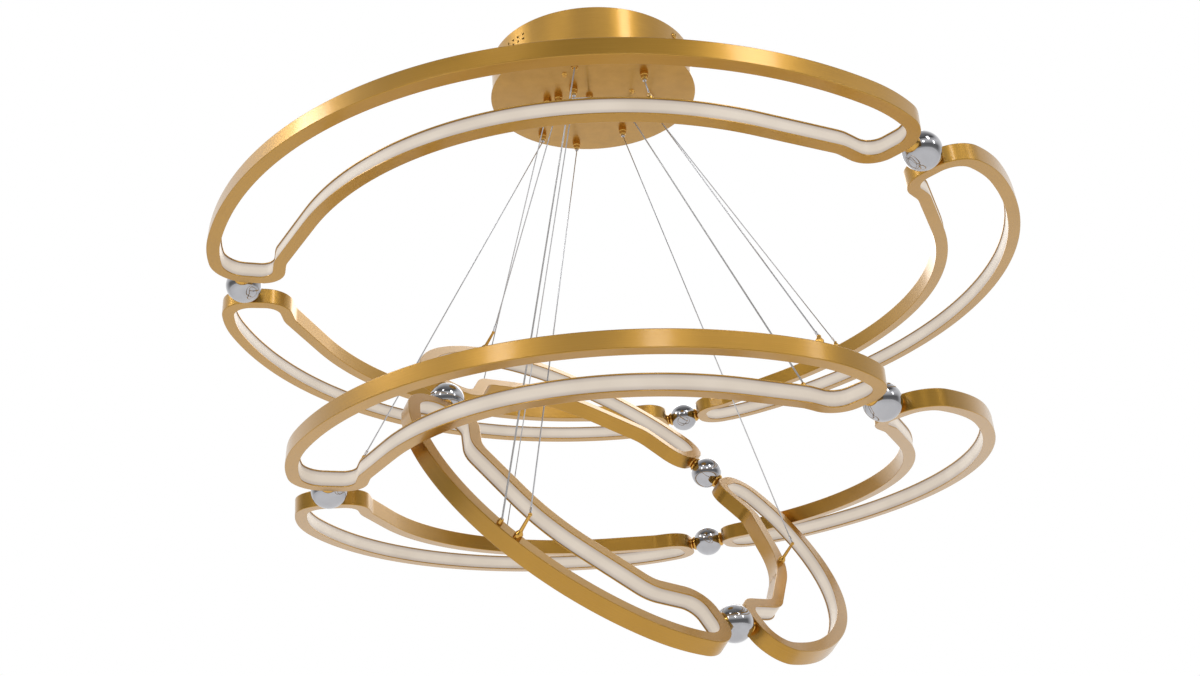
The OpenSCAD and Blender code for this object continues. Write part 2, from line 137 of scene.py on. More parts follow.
def polar(r, a):
    return np.array([r * math.cos(math.radians(a)), r * math.sin(math.radians(a))])


def heading(v):
    return math.degrees(math.atan2(v[1], v[0]))


def span(r, k):
    b = r["balls"]
    return b[(k + 1) % 3] - b[k] + (360 if k == 2 else 0)


def fromRing(r, points):
    # a ring's own coordinates to the frame: lean about the level line square to leanWay, then move to the centre
    m = rotZ(r["leanWay"]) @ rotY(r["lean"]) @ rotZ(-r["leanWay"])
    return points @ m.T + np.array(r["centre"])


def fromLoop(r, k, points):
    # a loop's own coordinates to the frame: turn about the chord through its two balls, then about the ring's axis
    half = span(r, k) / 2
    chord = np.array([(r["outer"] - r["ballInset"]) * math.cos(math.radians(half)), 0, 0])
    turned = (points - chord) @ rotY(-r["turn"][k]).T + chord
    return fromRing(r, turned @ rotZ(r["balls"][k] + half).T)


def endOutline(r):
    # a loop end's arc centres and headings, in the coordinates of its ball: x outward, -y into the loop
    outer, inner = r["outer"], r["outer"] - r["width"]
    co, ci, br = section["cornerOut"], section["cornerIn"], section["blend"]
    o = np.array([outer - r["endIn"] - co, -cap - co])
    i = np.array([inner + r["endOut"] + ci, -cap - ci])
    p, q, a = outer - br, br - co, np.linalg.norm(o)
    blendAt = heading(o) - math.degrees(math.acos((p * p + a * a - q * q) / (2 * p * a)))
    b = polar(p, blendAt)
    w = np.array([inner + r["waistIn"], -r["waistAlong"]])
    arcEnd = heading(w) - math.degrees(math.acos(inner / np.linalg.norm(w)))
    v = w - i
    cornerEnd = heading(v) + 360 - math.degrees(math.acos(ci / np.linalg.norm(v)))
    bend = cornerEnd + 90 - (arcEnd + 270)
    return {"outer": outer, "inner": inner, "o": o, "i": i, "b": b, "w": w, "blendAt": blendAt,
            "blendEnd": heading(o - b), "arcEnd": arcEnd, "cornerEnd": cornerEnd, "bend": bend}


def arcPoints(centre, radius, start, end, step, side):
    # points on a circle from one heading to another, with the way into the loop: side -1 is towards the centre
    n = max(2, int(abs(end - start) / step) + 1)
    a = np.radians(np.linspace(start, end, n))
    out = np.stack([np.cos(a), np.sin(a)], 1)
    return np.asarray(centre) + radius * out, side * out


def loopPath(r, k):
    # the closed outline of a loop's back: outer arc, bend, corner, flat end, corner, waist, inner arc and the
    # mirror of that, as points and the ways into the loop, starting at the middle of one flat end
    e = endOutline(r)
    half = span(r, k) / 2
    cut = section["waist"] * math.tan(math.radians(e["bend"] / 2))
    wayA, wayB = e["cornerEnd"] + 90, e["arcEnd"] - 90
    bendAt = e["w"] - polar(cut, wayA) + polar(section["waist"], wayA - 90)
    midBar = np.array([(e["o"][0] + e["i"][0]) / 2, -cap])
    down = np.array([0.0, -1.0])
    pieces = [
        arcPoints(e["b"], section["blend"], e["blendAt"], e["blendEnd"], stepBy["bend"], -1),
        arcPoints(e["o"], section["cornerOut"], e["blendEnd"], 90, stepBy["corner"], -1),
        (midBar[None], down[None]),
        arcPoints(e["i"], section["cornerIn"], 90, e["cornerEnd"], stepBy["corner"], -1),
        arcPoints(bendAt, section["waist"], wayA + 90, wayA + 90 - e["bend"], stepBy["corner"], 1),
    ]
    endP = np.concatenate([p for p, n in pieces])
    endN = np.concatenate([n for p, n in pieces])
    turn = rotZ(half)[:2, :2]
    farP, farN = endP @ turn.T, endN @ turn.T  # the end at +half, walked from the outer to the inner arc
    nearP, nearN = farP[::-1] * [1, -1], farN[::-1] * [1, -1]  # its mirror, walked back
    outP, outN = arcPoints((0, 0), e["outer"], -half - e["blendAt"], half + e["blendAt"], stepBy["arc"], -1)
    inP, inN = arcPoints((0, 0), e["inner"], half + e["arcEnd"], -half - e["arcEnd"], stepBy["arc"], 1)
    points = np.concatenate([outP, farP, inP, nearP])
    ways = np.concatenate([outN, farN, inN, nearN])
    keep = np.linalg.norm(points - np.roll(points, 1, 0), axis=1) > 0.05
    points, ways = points[keep], ways[keep]
    ways = ways / np.linalg.norm(ways, axis=1)[:, None]
    start = int(np.argmin(np.linalg.norm(points - (midBar @ turn.T) * [1, -1], axis=1)))
    points, ways = np.roll(points, -start, 0), np.roll(ways, -start, 0)
    return points, ways


def meshFromGrid(name, grid, uv=None, closeU=False, closeV=False, extra=None):
    # a mesh from a grid of points (rows, columns, 3) in metres; rows and columns close on themselves when asked
    nu, nv = grid.shape[:2]
    iu = np.arange(nu if closeU else nu - 1)
    iv = np.arange(nv if closeV else nv - 1)
    a, b = np.meshgrid(iu, iv, indexing="ij")
    a2, b2 = (a + 1) % nu, (b + 1) % nv
    quads = np.stack([a * nv + b, a2 * nv + b, a2 * nv + b2, a * nv + b2], -1).reshape(-1, 4)
    mesh = bpy.data.meshes.new(name)
    mesh.vertices.add(nu * nv)
    mesh.vertices.foreach_set("co", grid.reshape(-1, 3).astype(np.float32).ravel())
    mesh.loops.add(quads.size)
    mesh.loops.foreach_set("vertex_index", quads.ravel().astype(np.int32))
    mesh.polygons.add(len(quads))
    mesh.polygons.foreach_set("loop_start", np.arange(0, quads.size, 4, dtype=np.int32))
    mesh.polygons.foreach_set("use_smooth", np.ones(len(quads), bool))
    if uv is not None:
        us, vs = uv  # lengths along rows (nu or nu+1 values) and along columns
        corner = np.stack([np.stack([us[a], vs[b]], -1), np.stack([us[a + 1], vs[b]], -1),
                           np.stack([us[a + 1], vs[b + 1]], -1), np.stack([us[a], vs[b + 1]], -1)], 2)
        layer = mesh.uv_layers.new(name="along")
        layer.data.foreach_set("uv", corner.reshape(-1, 2).astype(np.float32).ravel())
    mesh.update(calc_edges=True)
    mesh.validate()
    obj = bpy.data.objects.new(name, mesh)
    bpy.context.scene.collection.objects.link(obj)
    return obj


def lengths(points, closed):
    # running length along a row of points, with one more value for the way back when it is closed
    p = np.concatenate([points, points[:1]]) if closed else points
    return np.concatenate([[0], np.cumsum(np.linalg.norm(np.diff(p, axis=0), axis=1))])


def joined(name, objs):
    # one object out of several, so that each node keeps one piece
    if len(objs) > 1:
        with bpy.context.temp_override(active_object=objs[0], object=objs[0], selected_objects=objs,
                                       selected_editable_objects=objs):
            bpy.ops.object.join()
    objs[0].name = name
    objs[0].data.name = name
    return objs[0]


def aroundAxis(start, towards):
    # two unit vectors square to a line, and the line's own unit vector
    w = np.asarray(towards, float) - np.asarray(start, float)
    w = w / np.linalg.norm(w)
    side = np.array([1.0, 0, 0]) if abs(w[0]) < 0.8 else np.array([0, 1.0, 0])
    u = np.cross(w, side)
    u /= np.linalg.norm(u)
    return u, np.cross(w, u), w


def lathe(name, profile, start, towards, around=48, ring=False):
    # a profile of (distance along, radius) turned about the line from start towards a point; ring closes it
    u, v, w = aroundAxis(start, towards)
    prof = np.asarray(profile, float)
    a = np.linspace(0, 2 * math.pi, around, endpoint=False)
    spokes = np.cos(a)[:, None] * u + np.sin(a)[:, None] * v
    grid = np.asarray(start) + prof[None, :, 0, None] * w + prof[None, :, 1, None] * spokes[:, None, :]
    us = np.linspace(0, 2 * math.pi, around + 1) * max(prof[:, 1].max(), 0.5)
    obj = meshFromGrid(name, grid * mm, (us * mm, lengths(prof, ring) * mm), closeU=True, closeV=ring)
    work = bmesh.new()
    work.from_mesh(obj.data)
    bmesh.ops.remove_doubles(work, verts=work.verts, dist=1e-8)
    work.to_mesh(obj.data)
    work.free()
    obj.data.set_sharp_from_angle(angle=math.radians(40))
    return obj


def roundedProfile(corners, steps=3, ring=False, guard=0.3):
    # a profile of (along, radius, rounding) whose corners become short arcs, with one guard point on each side so
    # that flats stay flat; ring closes it
    c = [tuple(x) for x in corners]
    n = len(c)
    out = [] if ring else [np.array(c[0][:2])]
    for j in range(0 if ring else 1, n if ring else n - 1):
        p, a, b, rad = np.array(c[j][:2]), np.array(c[j - 1][:2]), np.array(c[(j + 1) % n][:2]), c[j][2]
        if rad <= 0:
            out.append(p)
            continue
        ua, ub = (a - p) / np.linalg.norm(a - p), (b - p) / np.linalg.norm(b - p)
        turnBy = math.acos(float(np.clip(ua @ ub, -1, 1)))
        back = rad / math.tan(turnBy / 2)
        mid = (ua + ub) / np.linalg.norm(ua + ub)
        centre = p + mid * rad / math.sin(turnBy / 2)
        s, e = p + ua * back, p + ub * back
        a0, a1 = math.atan2(*(s - centre)[::-1]), math.atan2(*(e - centre)[::-1])
        da = (a1 - a0 + math.pi) % (2 * math.pi) - math.pi
        out.append(p + ua * (back + guard * rad))
        for t in np.linspace(0, 1, steps + 1):
            out.append(centre + rad * np.array([math.cos(a0 + da * t), math.sin(a0 + da * t)]))
        out.append(p + ub * (back + guard * rad))
    if not ring:
        out.append(np.array(c[-1][:2]))
    return np.array(out)


def node(tree, kind, **values):
    n = tree.nodes.new(kind)
    for key, value in values.items():
        if hasattr(n, key):
            setattr(n, key, value)
        else:
            n.inputs[key.replace("_", " ")].default_value = value
    return n


def newMaterial(name):
    m = bpy.data.materials.new(name)
    m.use_nodes = True
    tree = m.node_tree
    return m, tree, tree.nodes["Principled BSDF"]


def ramp(tree, source, stops):
    r = tree.nodes.new("ShaderNodeValToRGB")
    while len(r.color_ramp.elements) < len(stops):
        r.color_ramp.elements.new(0.5)
    for element, (at, colour) in zip(r.color_ramp.elements, stops):
        element.position = at
        element.color = (*colour, 1)
    tree.links.new(source, r.inputs["Fac"])
    return r


goldLook = {
    "base": (0.40, 0.21, 0.026), "light": (0.50, 0.27, 0.040), "rough": (0.30, 0.40),
    "grain": 0.00012, "lacquer": 0.6, "lacquerRough": 0.15,
    "alongUv": (14, 2600, 1), "turned": (60, 60, 3000),  # the streaks' scale by the piece's UV and round its axis
}


def brushedGold(name, alongUv, look):
    # fine streaks stretched along the grain shift the colour, the roughness and the height
    m, tree, bsdf = newMaterial(name)
    coords = node(tree, "ShaderNodeTexCoord")
    mapping = node(tree, "ShaderNodeMapping")
    mapping.inputs["Scale"].default_value = look["alongUv"] if alongUv else look["turned"]
    tree.links.new(coords.outputs["UV" if alongUv else "Object"], mapping.inputs["Vector"])
    streak = node(tree, "ShaderNodeTexNoise", Scale=1.0, Detail=3.0, Roughness=0.6)
    tree.links.new(mapping.outputs["Vector"], streak.inputs["Vector"])
    cloud = node(tree, "ShaderNodeTexNoise", Scale=16.0, Detail=2.0)
    tree.links.new(coords.outputs["Object"], cloud.inputs["Vector"])
    tone = node(tree, "ShaderNodeMix", data_type="FLOAT")
    tone.inputs["Factor"].default_value = 0.35
    tree.links.new(streak.outputs["Fac"], tone.inputs[2])
    tree.links.new(cloud.outputs["Fac"], tone.inputs[3])
    colours = ramp(tree, tone.outputs[0], [(0.3, look["base"]), (0.7, look["light"])])
    tree.links.new(colours.outputs["Color"], bsdf.inputs["Base Color"])
    rough = node(tree, "ShaderNodeMapRange")
    for socket, value in zip(("To Min", "To Max"), look["rough"]):
        rough.inputs[socket].default_value = value
    tree.links.new(streak.outputs["Fac"], rough.inputs["Value"])
    tree.links.new(rough.outputs["Result"], bsdf.inputs["Roughness"])
    bump = node(tree, "ShaderNodeBump", Strength=0.12, Distance=look["grain"])
    tree.links.new(streak.outputs["Fac"], bump.inputs["Height"])
    tree.links.new(bump.outputs["Normal"], bsdf.inputs["Normal"])
    bsdf.inputs["Metallic"].default_value = 1.0
    bsdf.inputs["Coat Weight"].default_value = look["lacquer"]
    bsdf.inputs["Coat Roughness"].default_value = look["lacquerRough"]
    return m


def metal(name, base, rough, speckle, bumpHeight=0.00003):
    # plain metal with a faint change of tone and fine pits
    m, tree, bsdf = newMaterial(name)
    coords = node(tree, "ShaderNodeTexCoord")
    fine = node(tree, "ShaderNodeTexNoise", Scale=speckle, Detail=3.0)
    tree.links.new(coords.outputs["Object"], fine.inputs["Vector"])
    low = tuple(0.9 * c for c in base)
    colours = ramp(tree, fine.outputs["Fac"], [(0.35, low), (0.65, base)])
    tree.links.new(colours.outputs["Color"], bsdf.inputs["Base Color"])
    spread = node(tree, "ShaderNodeMapRange")
    spread.inputs["To Min"].default_value = rough * 0.8
    spread.inputs["To Max"].default_value = rough * 1.2
    tree.links.new(fine.outputs["Fac"], spread.inputs["Value"])
    tree.links.new(spread.outputs["Result"], bsdf.inputs["Roughness"])
    bump = node(tree, "ShaderNodeBump", Strength=0.1, Distance=bumpHeight)
    tree.links.new(fine.outputs["Fac"], bump.inputs["Height"])
    tree.links.new(bump.outputs["Normal"], bsdf.inputs["Normal"])
    bsdf.inputs["Metallic"].default_value = 1.0
    return m


# the glow's colours across the strip: the edge and side stops are painted shade of the lips, dimmer than the middle
litLook = {"edge": (0.42, 0.37, 0.33), "side": (0.66, 0.57, 0.49), "middle": (0.88, 0.77, 0.64), "glow": 0.62}


def litDiffuser(name, look):
    # frosted white strip, lit from behind: brightest along its middle, with painted shade that makes its glow
    # greyer towards the lips at its two edges
    m, tree, bsdf = newMaterial(name)
    coords = node(tree, "ShaderNodeTexCoord")
    parts = node(tree, "ShaderNodeSeparateXYZ")
    tree.links.new(coords.outputs["UV"], parts.inputs["Vector"])
    # painted shade: the glow darkens from the middle of the strip towards the lips on both sides
    across = ramp(tree, parts.outputs["Y"], [
        (0.0, look["edge"]), (0.10, look["side"]), (0.35, look["middle"]),
        (0.65, look["middle"]), (0.90, look["side"]), (1.0, look["edge"])])
    across.color_ramp.interpolation = "EASE"
    cloud = node(tree, "ShaderNodeTexNoise", Scale=26.0, Detail=1.0)
    tree.links.new(coords.outputs["Object"], cloud.inputs["Vector"])
    shade = ramp(tree, cloud.outputs["Fac"], [(0.3, (0.93, 0.92, 0.91)), (0.7, (1, 1, 1))])
    glow = node(tree, "ShaderNodeMix", data_type="RGBA", blend_type="MULTIPLY")
    glow.inputs["Factor"].default_value = 1.0
    tree.links.new(across.outputs["Color"], glow.inputs[6])
    tree.links.new(shade.outputs["Color"], glow.inputs[7])
    tree.links.new(glow.outputs[2], bsdf.inputs["Emission Color"])
    bsdf.inputs["Emission Strength"].default_value = look["glow"]
    body = ramp(tree, cloud.outputs["Fac"], [(0.3, (0.20, 0.18, 0.16)), (0.7, (0.24, 0.22, 0.20))])
    tree.links.new(body.outputs["Color"], bsdf.inputs["Base Color"])
    bsdf.inputs["Roughness"].default_value = 0.45
    grain = node(tree, "ShaderNodeTexNoise", Scale=1500.0, Detail=1.0)
    tree.links.new(coords.outputs["Object"], grain.inputs["Vector"])
    bump = node(tree, "ShaderNodeBump", Strength=0.08, Distance=0.00005)
    tree.links.new(grain.outputs["Fac"], bump.inputs["Height"])
    tree.links.new(bump.outputs["Normal"], bsdf.inputs["Normal"])
    return m


def twistedWire(name, base, rough):
    # thin wire rope: slanted strands from the piece's own UV give the height, and painted shade darkens the grooves
    # between them
    m, tree, bsdf = newMaterial(name)
    coords = node(tree, "ShaderNodeTexCoord")
    mapping = node(tree, "ShaderNodeMapping")
    mapping.inputs["Rotation"].default_value = (0, 0, 0.45)
    tree.links.new(coords.outputs["UV"], mapping.inputs["Vector"])
    strands = node(tree, "ShaderNodeTexWave", Scale=420.0, Distortion=0.3)
    tree.links.new(mapping.outputs["Vector"], strands.inputs["Vector"])
    # painted shade: the colour is darker in the grooves between the strands
    colours = ramp(tree, strands.outputs["Fac"], [(0.1, tuple(0.8 * c for c in base)), (0.6, base)])
    tree.links.new(colours.outputs["Color"], bsdf.inputs["Base Color"])
    bump = node(tree, "ShaderNodeBump", Strength=0.12, Distance=0.00004)
    tree.links.new(strands.outputs["Fac"], bump.inputs["Height"])
    tree.links.new(bump.outputs["Normal"], bsdf.inputs["Normal"])
    bsdf.inputs["Metallic"].default_value = 1.0
    bsdf.inputs["Roughness"].default_value = rough
    return m


def clearSheath(name):
    # clear sheath over tinned wires, kept simple as a glossy pale grey with faint strands
    m, tree, bsdf = newMaterial(name)
    coords = node(tree, "ShaderNodeTexCoord")
    mapping = node(tree, "ShaderNodeMapping")
    mapping.inputs["Rotation"].default_value = (0, 0, 0.3)
    tree.links.new(coords.outputs["UV"], mapping.inputs["Vector"])
    strands = node(tree, "ShaderNodeTexWave", Scale=260.0, Distortion=0.6)
    tree.links.new(mapping.outputs["Vector"], strands.inputs["Vector"])
    colours = ramp(tree, strands.outputs["Fac"], [(0.2, (0.42, 0.42, 0.43)), (0.8, (0.68, 0.68, 0.69))])
    tree.links.new(colours.outputs["Color"], bsdf.inputs["Base Color"])
    bsdf.inputs["Roughness"].default_value = 0.18
    bsdf.inputs["Coat Weight"].default_value = 0.6
    return m


materials = {
    "gold": brushedGold("brushedGoldAlong", True, goldLook),
    "goldPlain": brushedGold("brushedGoldSpun", False, goldLook),
    "brass": metal("polishedBrass", (0.62, 0.35, 0.08), 0.16, 900),
    "chrome": metal("chromeBall", (0.46, 0.46, 0.48), 0.04, 60, 0.000002),
    "diffuser": litDiffuser("litDiffuser", litLook),
    "strip": metal("stripCoat", (0.8, 0.78, 0.7), 0.5, 300),
    "wire": twistedWire("wireRope", (0.58, 0.58, 0.60), 0.35),
    "crimp": metal("crimpSilver", (0.7, 0.7, 0.72), 0.25, 700),
    "cord": clearSheath("clearCord"),
    "zinc": metal("zincPlate", (0.62, 0.63, 0.65), 0.35, 160),
    "driver": metal("driverCase", (0.8, 0.8, 0.78), 0.5, 200),
}
for plain in ("strip", "driver"):
    materials[plain].node_tree.nodes["Principled BSDF"].inputs["Metallic"].default_value = 0.0
print("materials made")


def dress(obj, material, slot, body, *nodes):
    obj.data.materials.clear()
    obj.data.materials.append(materials[material])
    if nodes:
        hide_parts(*nodes)
    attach(obj, body)


def sweptLoop(name, r, k, profile, across=None):
    # a closed profile of (depth, height) carried along the loop's outline, depth along the way into the loop
    points, ways = loopPath(r, k)
    flat = points[:, None, :] + ways[:, None, :] * profile[None, :, 0, None]
    grid = np.concatenate([flat, np.broadcast_to(profile[None, :, 1, None], flat.shape[:2] + (1,))], -1)
    grid = fromLoop(r, k, grid.reshape(-1, 3)).reshape(grid.shape)
    vs = lengths(profile, True) * mm if across is None else across
    return meshFromGrid(name, grid * mm, (lengths(points, True) * mm, vs), closeU=True, closeV=True)


def channelProfile():
    h, d, w, l = section["height"] / 2, section["depth"], section["web"], section["lip"]
    corners = [(0, -h, 0.7), (d, -h, 0.3), (d, l - h, 0.3), (w, l - h, 0), (w, h - l, 0), (d, h - l, 0.3),
               (d, h, 0.3), (0, h, 0.7)]
    return roundedProfile(corners, ring=True, guard=0.25)[::-1]


def diffuserProfile():
    # flat back and a front that bulges by a low curve: bump times one less the square of the share across
    inside = section["height"] / 2 - section["lip"] - section["slack"]
    front = section["depth"] - section["recess"] - section["bump"]
    back = front - section["diffuser"] + section["bump"]
    y = np.linspace(-inside, inside, 15)
    x = front + section["bump"] * (1 - (y / inside) ** 2)
    return np.concatenate([np.stack([x, y], 1), [[back, inside], [back, -inside]]])[::-1]


channel, lit = channelProfile(), diffuserProfile()
acrossLit = lit[:, 1] / (2 * lit[:, 1].max()) + 0.5  # 0 at one lip, 1 at the other
acrossLit = np.concatenate([acrossLit, acrossLit[:1]])
for ringName, r in rings.items():
    for k in range(3):
        obj = sweptLoop(f"{ringName}Channel{k + 1}", r, k, channel)
        dress(obj, "gold", "brushed_gold", f"{ringName}_ring", f"{ringName}_channel_{k + 1}")
        obj = sweptLoop(f"{ringName}Diffuser{k + 1}", r, k, lit, acrossLit)
        dress(obj, "diffuser", "diffuser", f"{ringName}_ring", f"{ringName}_diffuser_{k + 1}")
print("loops made")

collarLook = {"drum": 2.4, "neck": 6.6, "neckAt": 1.2, "flare": 0.8, "lap": 0.6, "stud": 6.0, "studPast": 1.0,
              "nut": 9.0, "nutThick": 4.0, "nutGap": 0.3}


def sphereProfile(radius, steps=40):
    a = np.linspace(0, math.pi, steps)
    return np.stack([-radius * np.cos(a), radius * np.sin(a)], 1)


for ringName, r in rings.items():
    ballR = r["outer"] - r["ballInset"]
    balls, collars = [], []
    for k in range(3):
        at = fromRing(r, np.array([[*polar(ballR, r["balls"][k]), 0]]))[0]
        along = fromRing(r, np.array([[*(polar(ballR, r["balls"][k]) + polar(10, r["balls"][k] + 90)), 0]]))[0]
        balls.append(lathe(f"{ringName}Ball{k}", sphereProfile(section["ball"] / 2), at, along, 64))
        for side in (1, -1):
            loop = k if side == -1 else (k + 2) % 3
            half = span(r, loop) / 2
            ends = []
            for y in (0.0, -10.0):
                p = rotZ(half) @ np.array([ballR, y, 0])
                p[1] *= 1 if side == 1 else -1
                ends.append(fromLoop(r, loop, p[None])[0])
            seat = math.sqrt(section["ball"] ** 2 - section["collar"] ** 2) / 2 - collarLook["lap"]
            rad, neck, foot = section["collar"] / 2, collarLook["neck"], cap + collarLook["lap"]
            prof = roundedProfile([(seat, 0, 0), (seat, rad, 0.3), (seat + collarLook["drum"], rad, 0.5),
                                   (cap - collarLook["neckAt"], neck, 0.5),
                                   (foot, neck + collarLook["flare"], 0.2), (foot, 0, 0)])
            collars.append(lathe("collar", prof, ends[0], ends[1], 40))
            inside = cap + section["web"] + collarLook["nutGap"]
            nutEnd, studR = inside + collarLook["nutThick"], collarLook["stud"] / 2
            studLow, studHigh = cap - collarLook["studPast"], nutEnd + collarLook["studPast"]
            prof = roundedProfile([(studLow, 0, 0), (studLow, studR, 0), (studHigh, studR, 0.5), (studHigh, 0, 0)])
            collars.append(lathe("stud", prof, ends[0], ends[1], 20))
            nutR = collarLook["nut"] / 2 / math.cos(math.radians(30))
            prof = [(inside, 0), (inside, nutR), (nutEnd, nutR), (nutEnd, 0)]
            collars.append(lathe("nut", prof, ends[0], ends[1], 6))
    dress(joined(f"{ringName}Balls", balls), "chrome", "chrome", f"{ringName}_ring", f"{ringName}_balls")
    dress(joined(f"{ringName}Collars", collars), "brass", "brass", f"{ringName}_ring", f"{ringName}_studs")
print("balls made")

hang = {
    "canopyHeight": 46.0, "cable": 1.4, "cord": 1.8, "fitting": 8.0, "stem": 3.0,
    "base": 5.0, "cone": 3.0, "ferrule": 2.8, "ferruleLong": 9.0, "ferruleHold": 5.0, "entry": 5.0, "cordHold": 1.2,
    "cableInside": 19.7, "cordInside": 15.7, "sink": 0.4, "eye": 2.0,
    "grip": 9.0, "sleeve": 3.0, "sleeveMouth": 0.5, "gland": 4.0, "glandMouth": 1.0,
    "rod": {"upper": 0.0, "middle": 0.0, "lower": 18.0},
}
mid = section["depth"] / 2
places = {  # loop, angle from the loop's middle, distance from the outer or the inner arc
    "upper": {
        "cables": [(0, 23.0, "in", mid), (2, -11.8, "in", mid), (1, 21.7, "in", mid)],
        "grips": [(61.7, -52.4), (-56.4, -3.6), (81.8, 41.8)],
        "cord": (0, 12.0, "in", mid), "gland": (-4.8, -7.4),
    },
    "middle": {
        "cables": [(0, -50.5, "in", mid + 6.9), (0, 42.6, "out", mid), (2, -7.0, "in", mid)],
        "grips": [(-68.3, 77.3), (70.1, 12.1), (-23.4, -27.3)],
        "cord": (0, 48.6, "in", mid + 5.6), "gland": (41.5, 30.2),
    },
    "lower": {
        "cables": [(2, 18.5, "out", mid), (0, 1.2, "out", mid), (1, 0.3, "in", mid)],
        "grips": [(-42.5, -11.3), (-25.9, 105.3), (34.7, 75.4)],
        "cord": (0, -3.4, "out", mid), "gland": (-20.0, -74.6),
    },
}
# heights where a cable enters its sleeve and a cord its gland
mouthZ = -hang["canopyHeight"] - hang["grip"] - hang["sleeve"] + hang["sleeveMouth"]
glandZ = -hang["canopyHeight"] - hang["gland"] + hang["glandMouth"]


def spot(r, place, z):
    loop, angle, side, off = place
    radius = r["outer"] - r["width"] + off if side == "in" else r["outer"] - off
    return fromLoop(r, loop, np.array([[*polar(radius, angle), z]]))[0]


def heldTube(name, low, mouth, top, radius, around=14):
    # a straight tube from low to mouth and upright on to top, with rings at its ends only, so that it stays
    # straight when low moves
    u, v, w = aroundAxis(low, mouth)
    rows = []
    upright = np.array([0, 0, 1.0])
    bent = (w + upright) / np.linalg.norm(w + upright)
    for at, axis in ((low, w), (mouth, bent), (top, upright)):
        uu = u - axis * (u @ axis)
        uu /= np.linalg.norm(uu)
        vv = np.cross(axis, uu)
        a = np.linspace(0, 2 * math.pi, around, endpoint=False)
        rows.append(at + radius * (np.cos(a)[:, None] * uu + np.sin(a)[:, None] * vv))
    tips = [np.broadcast_to(row.mean(0), row.shape) for row in (rows[0], rows[-1])]
    grid = np.stack([tips[0], *rows, tips[1]])
    us = np.cumsum([0, radius, np.linalg.norm(mouth - low), np.linalg.norm(top - mouth), radius])
    vs = np.linspace(0, 2 * math.pi * radius, around + 1)
    return meshFromGrid(name, grid[:, ::-1] * mm, (us * mm, vs * mm), closeV=True)


def dressHeld(obj, material, node):
    obj.data.materials.append(materials[material])
    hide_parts(node)
    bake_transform(obj)


for ringName, r in rings.items():
    p = places[ringName]
    h = section["height"] / 2
    rod = hang["rod"][ringName]
    gold, silver = [], []
    for j, place in enumerate(p["cables"]):
        base, top = spot(r, place, h), spot(r, place, h + hang["base"] + hang["cone"] + rod)
        mouth = np.array([*p["grips"][j], mouthZ])
        fr = hang["fitting"] / 2
        foot, cone = -hang["sink"], hang["base"] + hang["cone"]
        prof = [(foot, 0, 0), (foot, fr, 0.0), (hang["base"] - 1, fr, 0.8), (cone - 0.6, 1.9, 0.6)]
        if rod > 0:
            prof += [(cone + rod, hang["stem"] / 2, 0.1)]
        prof += [(cone + rod, 0, 0)]
        gold.append(lathe("post", roundedProfile(prof), base, top, 32))
        gold.append(lathe("eye", sphereProfile(hang["eye"], 14), top, base, 24))
        w = (mouth - top) / np.linalg.norm(mouth - top)
        fl, fh, wire = hang["ferruleLong"], hang["ferrule"] / 2, hang["cable"] / 2
        hold = fl - hang["ferruleHold"]  # where the cable ends inside the crimp
        crimp = roundedProfile([
            (0, 0, 0), (0.3, fh, 0.3), (2.6, fh, 0.2), (3.1, fh - 0.3, 0.2), (3.9, fh - 0.3, 0.2), (4.4, fh, 0.2),
            (fl - 0.8, fh, 0.4), (fl, 0.9, 0.1), (fl, wire, 0), (hold, wire, 0), (hold, 0, 0)])
        silver.append(lathe("crimp", crimp, top, mouth, 24))
        low = top + w * hold
        tube = heldTube(f"{ringName}Cable{j + 1}", low, mouth, mouth + [0, 0, hang["cableInside"]], wire)
        dressHeld(tube, "wire", f"{ringName}_cable_{j + 1}")
    base, top = spot(r, p["cord"], h), spot(r, p["cord"], h + hang["entry"])
    foot, nose = -hang["sink"], hang["entry"]
    prof = [(foot, 0, 0), (foot, 3, 0), (nose - 1, 2.3, 0.4), (nose, 1.6, 0.2), (nose, 0, 0)]
    gold.append(lathe("entry", roundedProfile(prof), base, top, 28))
    mouth = np.array([*p["gland"], glandZ])
    low = top - hang["cordHold"] * (mouth - top) / np.linalg.norm(mouth - top)
    tube = heldTube(f"{ringName}Cord", low, mouth, mouth + [0, 0, hang["cordInside"]], hang["cord"] / 2)
    dressHeld(tube, "cord", f"{ringName}_cord")
    dress(joined(f"{ringName}Fittings", gold), "brass", "brass", f"{ringName}_ring", f"{ringName}_fittings")
    dress(joined(f"{ringName}Ferrules", silver), "crimp", "steel_cable", f"{ringName}_ring")
print("cables made")

canopy = {
    "width": 250.0, "edge": 2.0, "plate": 2.0, "wall": 1.2, "below": 0.5,
    "rim": 1.2, "rimHigh": 6.0, "rimRoom": 0.1,
    "screwZ": -11.0, "screwAt": (-36, 84, 204),  # heights in mm, ways round in degrees
    "vent": 3.0, "ventAt": 219.0, "ventStep": 4.0, "ventZ": (-13.0, -19.0),
    "driverAt": (7.2, -34.3), "driverWay": 29.3, "driverHalf": 45.75,
    "gripHole": 4.05, "glandHole": 3.05, "screwHole": 2.05,
}
under = hang["canopyHeight"]  # the plate's underside, down from the ceiling
wallR = canopy["width"] / 2 - canopy["edge"]
down = np.array([0, 0, -1.0])


def drill(obj, holes):
    # cuts round holes, each given as a start, a point it runs towards, its radius and its length
    cutters = [lathe("cut", [(0, 0), (0, rad), (long, rad), (long, 0)], at, to, 28) for at, to, rad, long in holes]
    cutter = joined("cutter", cutters)
    cut = obj.modifiers.new("cut", "BOOLEAN")
    cut.operation, cut.object, cut.solver = "DIFFERENCE", cutter, "EXACT"
    dg = bpy.context.evaluated_depsgraph_get()
    obj.data = bpy.data.meshes.new_from_object(obj.evaluated_get(dg))
    obj.modifiers.clear()
    bpy.data.objects.remove(cutter)
    obj.data.set_sharp_from_angle(angle=math.radians(32))
    return obj


